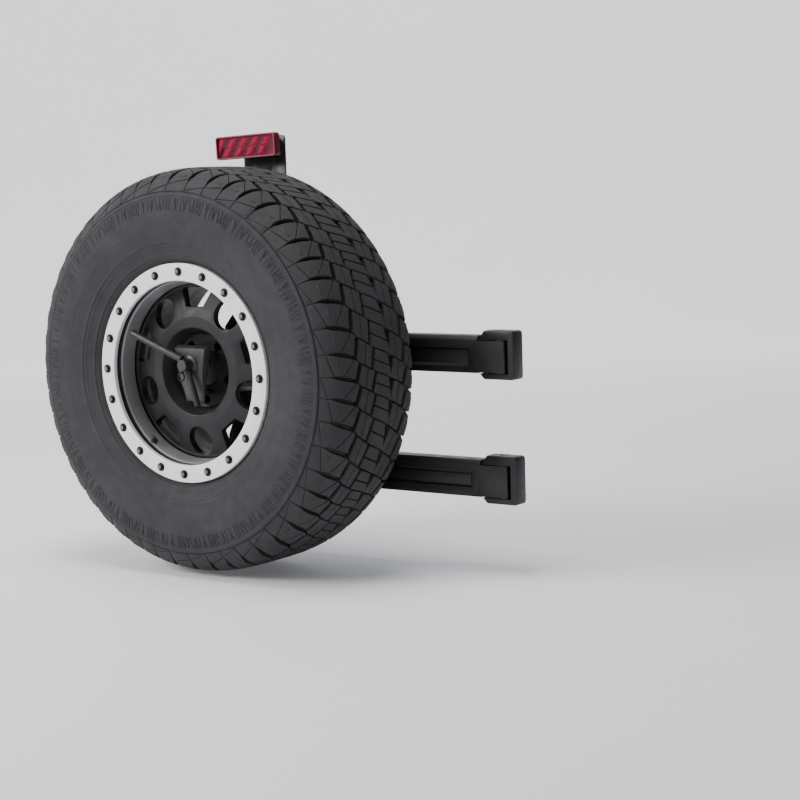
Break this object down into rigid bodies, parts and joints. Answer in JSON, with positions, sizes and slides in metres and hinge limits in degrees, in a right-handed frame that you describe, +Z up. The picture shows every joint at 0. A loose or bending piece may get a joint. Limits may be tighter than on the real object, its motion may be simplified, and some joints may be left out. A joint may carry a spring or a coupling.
{
  "type": "spare tire carrier",
  "caption": "Swing-away spare tire carrier: hinge arms on body brackets, plate and tower, beadlock wheel with tire, clamp plate with rod-handled nut, and a raised brake lamp.",
  "frame": {"origin": "centre of the lower body bracket's mounting face, level with the lower hinge and straight in front of the hinge axis", "axes": "+X towards the hinge side, away from the wheel; +Y into the vehicle, so that every piece lies at Y of 0 or less; +Z up, along the hinge pins"},
  "size_m": [1.078, 0.3795, 0.9479],
  "materials": {
    "hinge_black": "satin textured black casting",
    "carrier_black": "satin black powder coat",
    "zinc_steel": "zinc plated",
    "bush_polymer": "turned acetal",
    "tire_rubber": "matte charcoal rubber",
    "wheel_black": "satin black cast alloy",
    "ring_machined": "bright machined",
    "bolt_dark": "dark oxide",
    "soft_rubber": "matte",
    "clamp_grey": "satin dark grey",
    "lamp_black": "matte",
    "lamp_frame_red": "gloss",
    "lamp_lens_red": "gloss, moulded reflector cells"
  },
  "bodies": {
    "vehicle_side": {"lower_body_bracket": "hinge_black", "upper_body_bracket": "hinge_black", "lower_hinge_pin": "bolt_dark", "upper_hinge_pin": "bolt_dark", "lower_pin_clip": "bolt_dark", "upper_pin_clip": "bolt_dark"},
    "carrier": {"lower_hinge_arm": "hinge_black", "upper_hinge_arm": "hinge_black", "lower_hinge_top_bush": "bush_polymer", "lower_hinge_bottom_bush": "bush_polymer", "upper_hinge_top_bush": "bush_polymer", "upper_hinge_bottom_bush": "bush_polymer", "carrier_plate": "carrier_black", "arm_bolt_1": "zinc_steel", "arm_bolt_2": "zinc_steel", "arm_bolt_3": "zinc_steel", "arm_bolt_4": "zinc_steel", "wheel_tower": "carrier_black", "tower_bolt_1": "zinc_steel", "tower_bolt_2": "zinc_steel", "tower_bolt_3": "zinc_steel", "tower_bolt_4": "zinc_steel", "wheel_stud": "zinc_steel", "lamp_bracket": "carrier_black", "lamp_housing": "lamp_black", "lamp_frame": "lamp_frame_red", "lamp_lens": "lamp_lens_red", "lamp_grommet": "soft_rubber"},
    "spare_wheel": {"spare_tire": "tire_rubber", "wheel_rim": "wheel_black", "beadlock_ring": "ring_machined", "ring_bolt_01": "bolt_dark", "ring_bolt_02": "bolt_dark", "ring_bolt_03": "bolt_dark", "ring_bolt_04": "bolt_dark", "ring_bolt_05": "bolt_dark", "ring_bolt_06": "bolt_dark", "ring_bolt_07": "bolt_dark", "ring_bolt_08": "bolt_dark", "ring_bolt_09": "bolt_dark", "ring_bolt_10": "bolt_dark", "ring_bolt_11": "bolt_dark", "ring_bolt_12": "bolt_dark", "ring_bolt_13": "bolt_dark", "ring_bolt_14": "bolt_dark", "ring_bolt_15": "bolt_dark", "ring_bolt_16": "bolt_dark", "ring_bolt_17": "bolt_dark", "ring_bolt_18": "bolt_dark", "ring_bolt_19": "bolt_dark", "ring_bolt_20": "bolt_dark", "valve_stem": "soft_rubber", "valve_cap": "lamp_black"},
    "clamp": {"clamp_plate": "clamp_grey"},
    "handle": {"clamp_nut": "clamp_grey", "long_rod": "clamp_grey", "short_rod": "clamp_grey"},
    "lock": {"lock_pin": "bolt_dark"}
  },
  "joints": [
    {"name": "carrier_swing", "type": "hinge", "parent": "vehicle_side", "child": "carrier", "pos_m": [0, -0.022, 0], "axis": [0, 0, 1], "range_deg": [0, 100]},
    {"name": "wheel_lift_off", "type": "slide", "parent": "carrier", "child": "spare_wheel", "axis": [0, -1, 0], "range_m": [0, 0.3]},
    {"name": "clamp_release", "type": "slide", "parent": "spare_wheel", "child": "clamp", "axis": [0, -1, 0], "range_m": [0, 0.0101]},
    {"name": "nut_turn", "type": "hinge", "parent": "clamp", "child": "handle", "pos_m": [-0.601, -0.337, 0.254], "axis": [0, -1, 0], "range_deg": [0, 1440]},
    {"name": "lock_pin_pull", "type": "slide", "parent": "handle", "child": "lock", "axis": [-0.2588, 0, -0.9659], "range_m": [0, 0.034]}
  ],
  "couplings": [
    {"joint": "clamp_release", "follows": "nut_turn", "m_per_rad": 0.00039789}
  ]
}
